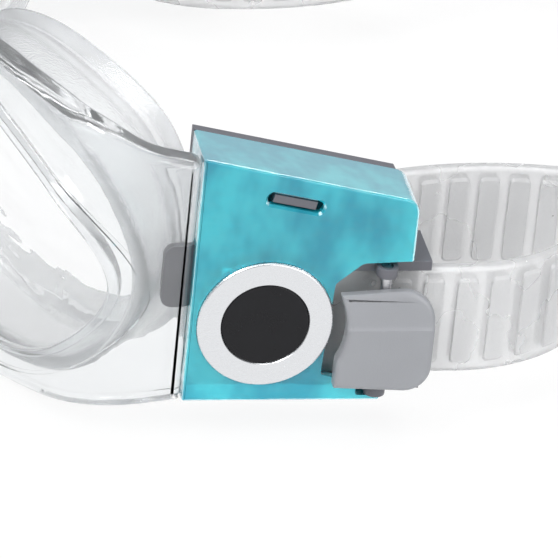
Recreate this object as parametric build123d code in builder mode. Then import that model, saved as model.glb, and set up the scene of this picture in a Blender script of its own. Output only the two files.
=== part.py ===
"""Swim goggles: wrap-round clear front, soft face skirts, two quick-release
buckles and a silicone head strap.  Millimetres, +Z up, front towards -Y,
wearer's left towards +X.  The rims stand on Z = 0."""

import os
from math import atan2, cos, degrees, radians, sin

from build123d import *

os.makedirs("parts", exist_ok=True)

# ---------------------------------------------------------------- front
front_half_width = 67.5     # rim surface at the temple
front_bulge = 28.0          # how far the front curves forward of the temple
temple_y = -4.5             # where the curved front meets the straight temple wall
temple_radius = 16.0        # bend from the front into the temple wall
rim_thickness = 4.0
rim_half_height = 24.0
temple_half_height = 17.6
rim_temple = 42.0           # from the eye's axis to the rim's temple end
eye_centre_x = 36.0
eye_centre_y = -28.0        # just behind the front surface
eye_wrap = 28.0             # degrees that each eye looks outwards
window_top = 15.5           # lens window, above and below the eye centre
window_bottom = 18.5
window_nose = 23.0
window_temple = 33.0
bridge_half_width = 16.0
bridge_height = 11.0
bridge_centre_z = 33.0
rim_lip = 1.0               # plastic in front of the lens edge
lens_thickness = 2.2
lens_overlap = 1.2          # how far the lens reaches under the lip
seat_clearance = 0.05
reach = 45.0                # longer than the front is deep, so that cuts pass through
strap_reach = 200.0         # longer than the strap, for the same

# ---------------------------------------------------------------- skirts
skirt_wall = 1.8
skirt_front = (40.7, 22.1, 23.3, 22.6)  # temple, top, nose, bottom: just ahead of the rim
skirt_back = (28.1, 19.1, 21.4, 19.7)   # the same, just behind the face
skirt_span = (10.0, 24.0)   # how far ahead of and behind the eye plane those are
flange_outer = 1.3          # how far the sealing flange stands out of the cup
flange_inner = 4.5
flange_thickness = 1.6
skirt_temple = (55.5, 5.5)  # face edge of the skirt, seen from above
skirt_middle = (36.0, -8.8)
skirt_nose = (2.5, -23.0)
nose_pad_half_width = 7.0
nose_pad_depth = 3.0

# ---------------------------------------------------------------- buckle
buckle_x = 68.0             # outer face of the cover, at its front edge
buckle_z = 6.0              # lower edge of the cover
buckle_splay = 2.0          # degrees that the buckle opens outwards to the rear
cover_height = 37.7
cover_length = 30.6
cover_drop = 6.6            # fall of the top edge over the cover's length
cover_skin = 1.2
cover_wall = 1.0
cover_depth = 9.0
plate_thickness = 1.4
rail_thickness = 1.5
rail_top = 1.5              # depth of the rails' outer edge below the cover's face
base_length = 33.5
strap_exit_front = 6.2      # opening in the base that the strap passes through
strap_exit_length = 12.0
front_wall_height = 34.5
bay_front = 19.9            # button bay in the cover
bay_top = 21.6
badge_centre = (10.6, 12.3)
badge_radius = 9.5
badge_disc_radius = 6.05
badge_thickness = 0.9
badge_recess = 0.5
slot_centre = (13.2, 30.9)
slot_length = 8.0
slot_width = 1.8
ridge_clearance = 0.3
tongue_length = 4.0
tongue_height = 9.4
tongue_thickness = 2.0
tongue_depth = 1.6          # below the cover's face
tongue_centre_z = 19.0

# ---------------------------------------------------------------- strap
strap_width = 16.4
strap_thickness = 2.3
strap_bottom = 2.9          # above the cover's lower edge
rail_gap = 0.3
bar_radius = 1.5
bar_seat = 10.7             # behind the cover's front edge
bar_depth = 6.4             # below the cover's face
wrap_gap = 0.15
leave_angle = 55.0          # inwards, where the strap leaves the bar
tail_straight = 27.5        # outer run, from the bar to where it starts to curl
tail_curl_radius = 24.0
tail_curl = 70.0            # degrees
inner_run = 10.3            # straight run off the bar
inner_curve_left = 38.0     # radii; the soft strap lies unevenly on the two sides
inner_curve_right = 18.0
waist_radius = 50.0
waist_in = 8.0              # degrees inwards where the waist starts
waist_out = 25.0            # degrees outwards where it ends
waist_run = 1.0             # straight after the waist, on the wider side
headband_gap = 5.0          # split of the headband behind the head
headband_flare_start = 78.0
headband_flare_end = 100.0
headband_split_start = 104.0

# ---------------------------------------------------------------- button
pin_radius = 0.8
pin_clearance = 0.05
pin_seat = 27.0             # behind the cover's front edge
pin_depth = 0.4             # below the cover's face
barrel_radius = 1.7
ear_radius = 1.5
button_proud = 2.9
button_under = 0.3
button_bottom = 2.9
button_top = 18.0
button_front = 20.6
button_rear = 34.0
button_corner = 2.6
crease_height = 12.6
badge_gap = 1.6
pawl_thickness = 1.4
pawl_height = 10.5
pawl_gap = 0.2
spring_wire = 0.4
spring_turns = 5
spring_pitch = 0.62
spring_leg = 3.4
spring_inner_gap = 0.25

# ---------------------------------------------------------------- derived places
front_radius = ((front_half_width - temple_radius) ** 2 + front_bulge**2 - temple_radius**2) / (
    2 * (front_bulge - temple_radius)
)
eye_turn = radians(eye_wrap)
eye_plane = Plane(
    origin=(eye_centre_x, eye_centre_y, rim_half_height),
    x_dir=(cos(eye_turn), sin(eye_turn), 0),
    z_dir=(sin(eye_turn), -cos(eye_turn), 0),
)
splay = radians(buckle_splay)
buckle_plane = Plane(
    origin=(buckle_x, 0, buckle_z),
    x_dir=(sin(splay), cos(splay), 0),
    z_dir=(cos(splay), -sin(splay), 0),
)
strap_top = strap_bottom + strap_width
lower_rail_top = strap_bottom - rail_gap
lower_rail_bottom = lower_rail_top - rail_thickness
middle_rail_bottom = strap_top + rail_gap
middle_rail_top = middle_rail_bottom + rail_thickness
cover_rear_top = cover_height - cover_drop
strap_middle_z = buckle_z + strap_bottom + strap_width / 2


def upright_plane(along, depth, height=0.0):
    """Plane square to the bar and the pin, centred on a line at one depth in the buckle."""
    return Plane(
        origin=buckle_plane.from_local_coords((along, height, -depth)),
        x_dir=buckle_plane.x_dir,
        z_dir=(0, 0, 1),
    )


wrap_radius = bar_radius + wrap_gap + strap_thickness / 2
bar_origin = upright_plane(bar_seat, bar_depth).origin
bar_point = Vector(bar_origin.X, bar_origin.Y)
rearward = Vector(sin(splay), cos(splay))
outward = Vector(cos(splay), -sin(splay))


def strap_line(inner_curve_radius, waist_length):
    """One side of the strap's middle line, from its free tail to behind the head."""
    with BuildLine() as line:
        tail_start = bar_point + outward * wrap_radius + rearward * tail_straight
        JernArc(tail_start, rearward, tail_curl_radius, tail_curl)
        outer_run = Line(tail_start, bar_point + outward * wrap_radius)
        wrap = JernArc(outer_run @ 1, -rearward, wrap_radius, leave_angle - 180)
        run = Line(wrap @ 1, (wrap @ 1) + (wrap % 1) * inner_run)
        lead = JernArc(run @ 1, run % 1, inner_curve_radius, waist_in + buckle_splay - leave_angle)
        waist = JernArc(lead @ 1, lead % 1, waist_radius, -(waist_in + waist_out))
        rise = Line(waist @ 1, (waist @ 1) + (waist % 1) * waist_length)
        back_radius = (rise @ 1).X / cos(radians(waist_out))
        back = JernArc(rise @ 1, rise % 1, back_radius, 90 + waist_out)
    return line.line, (back @ 1).Y


right_line, strap_back = strap_line(inner_curve_right, waist_run)
waist_turn = radians(waist_out)
back_growth = cos(waist_turn) + (1 + sin(waist_turn)) * sin(waist_turn) / cos(waist_turn)
left_shortfall = strap_back - strap_line(inner_curve_left, waist_run)[1]
left_line = strap_line(inner_curve_left, waist_run + left_shortfall / back_growth)[0]
strap_back_y = strap_back + strap_thickness / 2
to_origin = Location((0, -(strap_back_y + temple_y - front_bulge) / 2, 0))


def save(builder, name):
    """Label a finished piece and write it."""
    placed = builder.part.moved(to_origin)
    placed.label = name
    export_step(placed, f"parts/{name}.step")


def save_pair(builder, name):
    """Write a left-hand piece and its mirror image on the right."""
    save(builder, f"{name}_left")
    with BuildPart() as opposite:
        mirror(builder.part, about=Plane.YZ)
    save(opposite, f"{name}_right")


def front_region(depth, rear=0.0):
    """Plan of everything behind the wrap-round front, from a depth below its surface."""
    half_width = front_half_width - depth
    temple_centre = (front_half_width - temple_radius, temple_y)
    front_centre = (0, temple_y - front_bulge + front_radius)
    meet = degrees(atan2(front_centre[1] - temple_centre[1], temple_centre[0]))
    with BuildSketch() as plan:
        with BuildLine():
            CenterArc(temple_centre, temple_radius - depth, -meet, meet)
            CenterArc(front_centre, front_radius - depth, meet - 180, 180 - 2 * meet)
            CenterArc((-temple_centre[0], temple_y), temple_radius - depth, 180, meet)
            Polyline(
                (-half_width, temple_y), (-half_width, rear), (half_width, rear), (half_width, temple_y)
            )
        make_face()
    return plan.sketch


def front_band(outer_depth, inner_depth):
    """Plan of a layer of the front, between two depths below its surface."""
    with BuildSketch() as plan:
        add(front_region(outer_depth))
        add(front_region(inner_depth), mode=Mode.SUBTRACT)
    return plan.sketch


def rim_outline():
    """Outer edge of one rim, in the plane that the eye looks out of."""
    with BuildSketch() as outline:
        with BuildLine():
            upper = Spline(
                (rim_temple, temple_half_height - 0.6),
                (36.0, 20.2),
                (28.0, rim_half_height - 0.6),
                (9.0, rim_half_height),
                (-9.0, 21.5),
                (-21.5, 14.0),
                (-26.5, 2.0),
                tangents=((-0.9, 0.35), (0, -1)),
            )
            lower = Spline(
                (-26.5, 2.0),
                (-24.0, -9.0),
                (-14.0, -20.0),
                (6.0, -rim_half_height),
                (28.0, -rim_half_height + 3.0),
                (rim_temple, -temple_half_height),
                tangents=((0, -1), (0.97, 0.2)),
            )
            Line(lower @ 1, upper @ 0)
        make_face()
    return outline.sketch


def window_outline(grow=0.0):
    """Edge of the lens window, in the same plane, grown all round."""
    temple = window_temple + grow
    top = window_top + grow
    nose = window_nose + grow
    bottom = window_bottom + grow
    with BuildSketch() as outline:
        with BuildLine():
            Spline(
                (temple, -2.0),
                (0.77 * temple, 0.57 * top),
                (0.06 * temple, top),
                (-0.65 * nose, 0.71 * top),
                (-nose, -1.0),
                (-0.61 * nose, -0.77 * bottom),
                (0.18 * temple, -bottom),
                (0.74 * temple, -0.78 * bottom),
                periodic=True,
            )
        make_face()
    return outline.sketch


rim_face = rim_outline()
window_face = window_outline()
lens_face = window_outline(lens_overlap)


def through_front(face):
    """A prism of one flat outline, running through the front along the eye's view."""
    with BuildPart() as prism:
        with BuildSketch(eye_plane.offset(-reach)):
            add(face)
        extrude(amount=2 * reach)
    return prism.part


# ---------------------------------------------------------------- front frame
with BuildPart() as lens_seat:
    extrude(front_band(rim_lip, rim_thickness + 1), amount=2 * rim_half_height)
    add(through_front(lens_face), mode=Mode.INTERSECT)

with BuildPart() as bridge:
    extrude(front_band(0, rim_thickness), amount=bridge_centre_z + bridge_height / 2)
    with BuildSketch(Plane.XZ.offset(-reach)) as bridge_front:
        with Locations((0, bridge_centre_z)):
            RectangleRounded(2 * bridge_half_width, bridge_height, bridge_height / 3)
        with Locations((0, bridge_centre_z)):
            Rectangle(reach, reach, align=(Align.MIN, Align.CENTER), mode=Mode.INTERSECT)
    extrude(amount=2 * reach, mode=Mode.INTERSECT)

with BuildPart() as front_half:
    extrude(front_band(0, rim_thickness), amount=2 * rim_half_height)
    add(through_front(rim_face), mode=Mode.INTERSECT)
    add(bridge.part)
    add(through_front(window_face), mode=Mode.SUBTRACT)
    add(lens_seat.part, mode=Mode.SUBTRACT)
    with BuildSketch(buckle_plane.offset(-tongue_depth + seat_clearance)) as socket:
        with Locations((0, tongue_centre_z)):
            Rectangle(2 * (tongue_length + 0.2), tongue_height + 0.4)
    extrude(amount=-(tongue_thickness + 2 * seat_clearance), mode=Mode.SUBTRACT)

with BuildPart() as front_frame:
    add(front_half.part)
    add(mirror(front_half.part, about=Plane.YZ))
save(front_frame, "front_frame")

# ---------------------------------------------------------------- lenses
lens_front = rim_lip + seat_clearance
lens_back = lens_front + lens_thickness
with BuildPart() as lens:
    extrude(front_band(lens_front, lens_back), amount=2 * rim_half_height)
    add(through_front(window_outline(lens_overlap - seat_clearance)), mode=Mode.INTERSECT)
save_pair(lens, "lens")


# ---------------------------------------------------------------- face skirts
def behind_front(start_depth, face_offset):
    """Plan of the space behind the front, back to the face edge of the skirt."""
    temple = Vector(*skirt_temple) - Vector(0, face_offset)
    middle = Vector(*skirt_middle) - Vector(0, face_offset)
    nose = Vector(*skirt_nose) - Vector(0, face_offset)
    with BuildSketch() as plan:
        with BuildLine():
            back = ThreePointArc(nose, middle, temple)
            Polyline(
                back @ 1,
                (front_half_width, temple.Y),
                (front_half_width, -reach),
                (nose.X, -reach),
                back @ 0,
            )
        make_face()
        add(front_region(start_depth, reach), mode=Mode.INTERSECT)
    return plan.sketch


def cup_section(sizes, grow):
    """Outline of the skirt's cup at one depth, grown or shrunk all round."""
    temple, top, nose, bottom = (size + grow for size in sizes)
    with BuildSketch() as section:
        with BuildLine():
            Spline(
                (temple, -2.0),
                (0.76 * temple, 0.76 * top),
                (0.1 * temple, top),
                (-0.68 * nose, 0.7 * top),
                (-nose, -1.0),
                (-0.66 * nose, -0.74 * bottom),
                (0.15 * temple, -bottom),
                (0.76 * temple, -0.8 * bottom),
                periodic=True,
            )
        make_face()
    return section.sketch


def cup_body(grow):
    """Solid of the skirt's cup, tapering from the rim towards the face."""
    with BuildPart() as body:
        for place, sizes in ((skirt_span[0], skirt_front), (-skirt_span[1], skirt_back)):
            with BuildSketch(eye_plane.offset(place)):
                add(cup_section(sizes, grow))
        loft()
    return body.part


skirt_start = rim_thickness + seat_clearance
with BuildPart() as flange:
    extrude(behind_front(skirt_start, 0), amount=2 * rim_half_height)
    extrude(behind_front(0, flange_thickness), amount=2 * rim_half_height, mode=Mode.SUBTRACT)
    add(cup_body(flange_outer), mode=Mode.INTERSECT)

with BuildPart() as face_skirt:
    extrude(behind_front(skirt_start, 0), amount=2 * rim_half_height)
    add(cup_body(0), mode=Mode.INTERSECT)
    add(cup_body(-skirt_wall), mode=Mode.SUBTRACT)
    add(flange.part)
    add(cup_body(-flange_inner), mode=Mode.SUBTRACT)
save_pair(face_skirt, "face_skirt")

# ---------------------------------------------------------------- nose pad
with BuildPart() as nose_pad:
    extrude(front_band(skirt_start, skirt_start + nose_pad_depth), amount=2 * rim_half_height)
    with BuildSketch(Plane.XZ.offset(-reach)) as pad_front_view:
        with Locations((0, bridge_centre_z)):
            RectangleRounded(2 * nose_pad_half_width, bridge_height - 2, bridge_height / 4)
    extrude(amount=2 * reach, mode=Mode.INTERSECT)
save(nose_pad, "nose_pad")


# ---------------------------------------------------------------- buckle cover
def cover_outline():
    """Side view of the cover, without the button bay."""
    with BuildSketch() as outline:
        with BuildLine():
            Polyline(
                (0, 0),
                (0, cover_height),
                (cover_length, cover_rear_top),
                (cover_length, 0),
                close=True,
            )
        make_face()
        fillet(outline.vertices().group_by(Axis.X)[-1].sort_by(Axis.Y)[-1], radius=2.5)
    return outline.sketch


def bay_outline():
    """Side view of the bay that the release button works in."""
    with BuildSketch() as outline:
        with BuildLine():
            Polyline(
                (bay_front, bay_top - 3.2),
                (bay_front + 3.6, bay_top),
                (base_length + 8, bay_top + 0.8),
                (base_length + 8, -2),
                (cover_length - 3.0, -2),
                (cover_length - 3.0, cover_wall),
                (bay_front + 4.4, cover_wall),
                (bay_front + 4.4, 2.9),
                (bay_front - 0.8, 4.2),
                close=True,
            )
        make_face()
    return outline.sketch


top_slope = -11.8
cover_face = cover_outline()
with BuildPart() as buckle_cover:
    with BuildSketch(buckle_plane) as skin:
        add(cover_face)
        add(bay_outline(), mode=Mode.SUBTRACT)
    extrude(amount=-cover_depth)
    with BuildSketch(buckle_plane.offset(-cover_skin)) as hollow:
        add(cover_face)
        offset(amount=-cover_wall)
    extrude(amount=-cover_depth, mode=Mode.SUBTRACT)
    with BuildSketch(buckle_plane) as recess:
        with Locations(badge_centre):
            Circle(badge_radius + seat_clearance)
    extrude(amount=-badge_recess, mode=Mode.SUBTRACT)
    with BuildSketch(buckle_plane) as slot:
        with Locations(Location((*slot_centre, 0), (0, 0, top_slope))):
            SlotOverall(slot_length, slot_width)
    extrude(amount=-cover_skin, mode=Mode.SUBTRACT)
    with BuildSketch(buckle_plane.offset(-cover_skin)) as tongue_notch:
        with Locations((0, tongue_centre_z)):
            Rectangle(2 * cover_wall + 0.2, tongue_height + 0.4)
    extrude(amount=-cover_depth, mode=Mode.SUBTRACT)
save_pair(buckle_cover, "buckle_cover")

# ---------------------------------------------------------------- badge
with BuildPart() as badge_ring:
    with BuildSketch(buckle_plane.offset(-badge_recess)) as ring:
        with Locations(badge_centre):
            Circle(badge_radius)
            Circle(badge_disc_radius + seat_clearance, mode=Mode.SUBTRACT)
    extrude(amount=badge_thickness)
save_pair(badge_ring, "badge_ring")

with BuildPart() as badge_disc:
    with BuildSketch(buckle_plane.offset(-badge_recess)) as disc:
        with Locations(badge_centre):
            Circle(badge_disc_radius)
    extrude(amount=badge_thickness - 0.1)
save_pair(badge_disc, "badge_disc")


# ---------------------------------------------------------------- buckle base
base_front = cover_wall + 0.1
with BuildPart() as buckle_base:
    with BuildSketch(buckle_plane.offset(-cover_depth)) as plate:
        with BuildLine():
            Polyline(
                (0, 0),
                (0, cover_height),
                (cover_length - 2, cover_rear_top + 0.43),
                (cover_length - 0.6, cover_rear_top - 2),
                (cover_length - 0.6, middle_rail_top),
                (base_length, middle_rail_top),
                (base_length, lower_rail_bottom),
                (cover_length - 3, 0),
                close=True,
            )
        make_face()
        with Locations((strap_exit_front, lower_rail_top)):
            Rectangle(
                strap_exit_length,
                strap_width + 2 * rail_gap,
                align=(Align.MIN, Align.MIN),
                mode=Mode.SUBTRACT,
            )
    extrude(amount=-plate_thickness)
    with BuildSketch(buckle_plane.offset(-cover_depth)) as rails:
        for bottom in (lower_rail_bottom, middle_rail_bottom):
            with Locations((base_front, bottom)):
                Rectangle(base_length - base_front, rail_thickness, align=(Align.MIN, Align.MIN))
        with Locations((base_front, lower_rail_bottom)):
            Rectangle(plate_thickness, front_wall_height, align=(Align.MIN, Align.MIN))
    extrude(amount=cover_depth - rail_top)
    with BuildSketch(buckle_plane.offset(-tongue_depth)) as tongue:
        with Locations((-tongue_length, tongue_centre_z)):
            Rectangle(
                tongue_length + base_front + 1, tongue_height, align=(Align.MIN, Align.CENTER)
            )
        fillet(tongue.vertices().group_by(Axis.X)[0], radius=1.5)
    extrude(amount=-tongue_thickness)
    with BuildSketch(buckle_plane.offset(-cover_depth)) as ridge:
        with Locations(Location((*slot_centre, 0), (0, 0, top_slope))):
            Rectangle(slot_length - slot_width, slot_width - 2 * ridge_clearance)
    extrude(amount=cover_depth - 0.5)
    for bottom in (lower_rail_bottom, middle_rail_bottom):
        with BuildSketch(upright_plane(pin_seat, pin_depth, bottom)) as ear:
            Circle(ear_radius)
            with Locations((0, 0)):
                Rectangle(2 * ear_radius, rail_top + 1, align=(Align.CENTER, Align.MIN))
        extrude(amount=rail_thickness)
    with BuildSketch(upright_plane(bar_seat, bar_depth)) as bar_bore:
        Circle(bar_radius + seat_clearance)
    extrude(amount=middle_rail_top + 1, mode=Mode.SUBTRACT)
    with BuildSketch(upright_plane(pin_seat, pin_depth)) as pin_bore:
        Circle(pin_radius + pin_clearance)
    extrude(amount=middle_rail_top + 1, mode=Mode.SUBTRACT)
save_pair(buckle_base, "buckle_base")

# ---------------------------------------------------------------- strap bar and button pin
pin_length = middle_rail_top - lower_rail_bottom
with BuildPart() as strap_bar:
    with BuildSketch(upright_plane(bar_seat, bar_depth, lower_rail_bottom)):
        Circle(bar_radius)
    extrude(amount=pin_length)
save_pair(strap_bar, "strap_bar")

with BuildPart() as button_pin:
    with BuildSketch(upright_plane(pin_seat, pin_depth, lower_rail_bottom)):
        Circle(pin_radius)
    extrude(amount=pin_length)
save_pair(button_pin, "button_pin")

# ---------------------------------------------------------------- release button
button_middle = (button_bottom + button_top) / 2
spring_height = spring_turns * spring_pitch
spring_room = spring_height + 1.0
strap_face = bar_depth - (bar_radius + wrap_gap + strap_thickness)
with BuildPart() as release_button:
    with BuildSketch(buckle_plane.offset(button_under)) as paddle:
        with Locations((button_front, button_bottom)):
            Rectangle(
                button_rear - button_front,
                button_top - button_bottom,
                align=(Align.MIN, Align.MIN),
            )
        fillet(paddle.vertices().group_by(Axis.Y)[0].sort_by(Axis.X)[-1], radius=button_corner)
        fillet(paddle.vertices().group_by(Axis.Y)[-1].sort_by(Axis.X)[-1], radius=5.0)
        fillet(paddle.vertices().group_by(Axis.X)[0], radius=0.9)
        with Locations(badge_centre):
            Circle(badge_radius + badge_gap, mode=Mode.SUBTRACT)
    extrude(amount=button_proud - button_under)
    with BuildSketch(Plane(
        origin=buckle_plane.from_local_coords((button_front - 2, 0, 0)),
        x_dir=(0, 0, 1),
        z_dir=buckle_plane.x_dir,
    )) as slope:
        with BuildLine():
            Polyline(
                (crease_height, -button_proud),
                (button_top + 1, -button_proud + 1.3),
                (button_top + 1, -button_proud - 1),
                close=True,
            )
        make_face()
    extrude(amount=button_rear, mode=Mode.SUBTRACT)
    with BuildSketch(upright_plane(pin_seat, pin_depth, button_bottom + 0.6)) as barrel:
        Circle(barrel_radius)
    extrude(amount=button_top - button_bottom - 1.2)
    with BuildSketch(buckle_plane.offset(button_under)) as pawl:
        with Locations((badge_centre[0] + badge_radius + badge_gap + 0.2, button_middle)):
            Rectangle(pawl_thickness, pawl_height, align=(Align.MIN, Align.CENTER))
    extrude(amount=-(strap_face + button_under - pawl_gap))
    with BuildSketch(upright_plane(pin_seat, pin_depth, button_middle - spring_room / 2)):
        Circle(barrel_radius + 0.2)
    extrude(amount=spring_room, mode=Mode.SUBTRACT)
    with BuildSketch(upright_plane(pin_seat, pin_depth)):
        Circle(pin_radius + pin_clearance)
    extrude(amount=button_top + 1, mode=Mode.SUBTRACT)
save_pair(release_button, "release_button")

# ---------------------------------------------------------------- button spring
spring_radius = pin_radius + spring_inner_gap + spring_wire / 2
spring_plane = Plane(
    origin=buckle_plane.from_local_coords((pin_seat, button_middle - spring_height / 2, -pin_depth)),
    x_dir=-buckle_plane.z_dir,
    z_dir=(0, 0, 1),
)
with BuildPart() as coil:
    with BuildLine() as coil_path:
        Helix(spring_pitch, spring_height, spring_radius)
    with BuildSketch(Plane(origin=coil_path.line @ 0, z_dir=coil_path.line % 0)):
        Circle(spring_wire / 2)
    sweep()
    for height, facing in ((0, -1), (spring_height, 1)):
        with BuildSketch(Plane(origin=(spring_radius, 0, height), z_dir=(0, facing, 0))):
            Circle(spring_wire / 2)
        extrude(amount=spring_leg)
with BuildPart() as button_spring:
    add(spring_plane.location * coil.part)
save_pair(button_spring, "button_spring")

# ---------------------------------------------------------------- head strap
def strap_band(line):
    """Plan of one side of the strap."""
    with BuildSketch() as plan:
        add(line)
        trace(line_width=strap_thickness)
    return plan.sketch


strap_top_z = strap_middle_z + strap_width / 2
strap_bottom_z = strap_middle_z - strap_width / 2
with BuildPart() as strap_right:
    extrude(strap_band(right_line), amount=2 * strap_middle_z)

with BuildPart() as head_strap:
    extrude(strap_band(left_line), amount=2 * strap_middle_z)
    mirror(strap_right.part, about=Plane.YZ)
    with BuildSketch(Plane.YZ.offset(-strap_reach)) as side_view:
        with BuildLine():
            Polyline(
                (-strap_reach, strap_top_z),
                (headband_flare_start, strap_top_z),
                (headband_flare_end, strap_middle_z * 2),
                (strap_reach, strap_middle_z * 2),
                (strap_reach, 0),
                (headband_flare_end, 0),
                (headband_flare_start, strap_bottom_z),
                (-strap_reach, strap_bottom_z),
                close=True,
            )
        make_face()
        with Locations((headband_split_start, strap_middle_z)):
            SlotOverall(strap_reach, headband_gap, align=(Align.MIN, Align.CENTER), mode=Mode.SUBTRACT)
    extrude(amount=2 * strap_reach, mode=Mode.INTERSECT)
save(head_strap, "head_strap")
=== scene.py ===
"""Swim goggles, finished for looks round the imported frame.

Sizes in the property groups are millimetres; meshes are metres in the frame's own axes.
Flat outlines are made first, given thickness, and then bent onto the front or along the strap."""

from math import atan2, ceil, cos, hypot, pi, radians, sin, sqrt

import bmesh
import bpy
from mathutils import Matrix, Vector


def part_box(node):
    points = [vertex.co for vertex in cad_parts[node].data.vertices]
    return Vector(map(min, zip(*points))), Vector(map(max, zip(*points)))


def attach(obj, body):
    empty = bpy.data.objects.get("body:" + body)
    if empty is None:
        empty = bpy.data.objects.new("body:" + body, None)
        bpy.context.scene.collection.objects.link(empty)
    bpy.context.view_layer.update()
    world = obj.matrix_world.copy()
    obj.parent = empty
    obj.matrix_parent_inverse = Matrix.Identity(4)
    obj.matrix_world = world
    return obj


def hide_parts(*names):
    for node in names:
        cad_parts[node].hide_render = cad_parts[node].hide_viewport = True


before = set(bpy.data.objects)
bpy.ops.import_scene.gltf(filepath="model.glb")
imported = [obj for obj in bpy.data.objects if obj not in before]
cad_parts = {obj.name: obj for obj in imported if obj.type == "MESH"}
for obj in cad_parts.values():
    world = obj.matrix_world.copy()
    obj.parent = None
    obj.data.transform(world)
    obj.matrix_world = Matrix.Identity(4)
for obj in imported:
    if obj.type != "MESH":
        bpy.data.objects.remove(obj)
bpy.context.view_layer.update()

bl_info = {
    "name": "Swim goggles",
    "version": (1, 0, 0),
    "blender": (4, 5, 0),
    "location": "View3D > Sidebar > Goggles",
    "description": "Builds the visible pieces of a pair of swim goggles on their frame",
    "category": "Object",
}

MM = 0.001
SIDES = (("left", 1), ("right", -1))
HALF_TURN = pi

# The frame's own places, in millimetres from the covers' front edge
FRONT_RADIUS = 132.51
FRONT_FORWARD = 32.5
TEMPLE_RADIUS = 16.0
TEMPLE_CENTRE = (51.5, -4.5)
TEMPLE_END = 4.5
EYE_ORIGIN = (36.0, -28.0, 24.0)
EYE_TURN = radians(28.0)
SPLAY = radians(2.0)
BUCKLE_ORIGIN = (68.0, 0.0, 6.0)
FRAME_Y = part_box("front_frame")[0].y / MM + FRONT_FORWARD


# ---------------------------------------------------------------- places
def spot(x, y, z):
    """A point of the goggles in millimetres, as a place in the frame."""
    return Vector((x, y + FRAME_Y, z)) * MM


def in_buckle(along, up, out):
    """A point from a buckle's own rearward, upward and outward sizes."""
    x = BUCKLE_ORIGIN[0] + along * sin(SPLAY) + out * cos(SPLAY)
    y = BUCKLE_ORIGIN[1] + along * cos(SPLAY) - out * sin(SPLAY)
    return spot(x, y, BUCKLE_ORIGIN[2] + up)


FRONT_CENTRE_Y = FRONT_RADIUS - FRONT_FORWARD
MEET = atan2(TEMPLE_CENTRE[0], FRONT_CENTRE_Y - TEMPLE_CENTRE[1])
FRONT_RUN = FRONT_RADIUS * MEET
TEMPLE_RUN = TEMPLE_RADIUS * (pi / 2 - MEET)
RIM_END = FRONT_RUN + TEMPLE_RUN + TEMPLE_END


def plan_of_front(run, depth):
    """Where a run along the front's outside comes to, seen from above."""
    side, run = (1 if run >= 0 else -1), abs(run)
    if run < FRONT_RUN:
        turn = run / FRONT_RADIUS
        x, y = 0.0, FRONT_CENTRE_Y
        radius = FRONT_RADIUS - depth
    else:
        turn = min(MEET + (run - FRONT_RUN) / TEMPLE_RADIUS, pi / 2)
        x, y = TEMPLE_CENTRE
        radius = TEMPLE_RADIUS - depth
    past = max(0.0, run - FRONT_RUN - TEMPLE_RUN)
    return side * (x + radius * sin(turn)), y - radius * cos(turn) + past


def on_front(run, height, depth):
    """Bends a flat point onto the wrap-round front."""
    x, y = plan_of_front(run, depth)
    return spot(x, y, height)


def run_of(eye_x, depth=2.0):
    """Run along the front that lies straight ahead of a point in the eye's plane."""
    low, high = -20.0, RIM_END
    for _ in range(40):
        middle = (low + high) / 2
        x, y = plan_of_front(middle, depth)
        across = (x - EYE_ORIGIN[0]) * cos(EYE_TURN) + (y - EYE_ORIGIN[1]) * sin(EYE_TURN)
        low, high = (middle, high) if across < eye_x else (low, middle)
    return (low + high) / 2


# ---------------------------------------------------------------- outlines
def through(points, steps=8, closed=True):
    """A smooth line through points."""
    count = len(points)
    line = []
    for i in range(count if closed else count - 1):
        if closed:
            around = [points[(i + k) % count] for k in (-1, 0, 1, 2)]
        else:
            around = [points[min(max(i + k, 0), count - 1)] for k in (-1, 0, 1, 2)]
        before, start, end, after = (Vector(p) for p in around)
        for step in range(steps):
            t = step / steps
            line.append(
                0.5
                * (
                    2 * start
                    + (end - before) * t
                    + (2 * before - 5 * start + 4 * end - after) * t**2
                    + (3 * start - before - 3 * end + after) * t**3
                )
            )
    return line if closed else line + [Vector(points[-1])]


def rounded(corners, steps=6):
    """An outline from corners given as (x, y, radius)."""
    line = []
    count = len(corners)
    for i, (x, y, radius) in enumerate(corners):
        here = Vector((x, y))
        back = (Vector(corners[i - 1][:2]) - here).normalized()
        ahead = (Vector(corners[(i + 1) % count][:2]) - here).normalized()
        if radius <= 0:
            line.append(here)
            continue
        half = back.angle(ahead) / 2
        reach = radius * cos(half) / sin(half)
        middle = here + (back + ahead).normalized() * radius / sin(half)
        first, last = here + back * reach - middle, here + ahead * reach - middle
        turn = first.angle(last)
        for step in range(steps + 1):
            share = step / steps
            line.append(middle + (first * sin(turn * (1 - share)) + last * sin(turn * share)) / sin(turn))
    return line


def circle(x, y, radius, count=72):
    """A round outline."""
    turns = [2 * pi * k / count for k in range(count)]
    return [Vector((x + radius * cos(turn), y + radius * sin(turn))) for turn in turns]


def grown(outline, amount):
    """An outline moved outwards by an amount, or inwards if it is negative."""
    count = len(outline)
    area = sum(outline[i - 1].cross(outline[i]) for i in range(count))
    facing = 1 if area > 0 else -1
    moved = []
    for i, here in enumerate(outline):
        before = (here - outline[i - 1]).normalized()
        after = (outline[(i + 1) % count] - here).normalized()
        along = (before + after).normalized()
        stretch = max(0.4, along.dot(after))
        moved.append(here + Vector((along.y, -along.x)) * facing * amount / stretch)
    return moved


def round_levels(low, high, low_radius, high_radius, steps=4):
    """Depths and insets that round a slab's two edges."""
    levels = []
    for k in range(steps + 1 if low_radius else 1):
        turn = k / steps * pi / 2
        levels.append((low + low_radius * (1 - cos(turn)), -low_radius * (1 - sin(turn))))
    for k in range(steps + 1 if high_radius else 1):
        turn = (1 - k / steps) * pi / 2
        levels.append((high - high_radius * (1 - cos(turn)), -high_radius * (1 - sin(turn))))
    return levels


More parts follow.
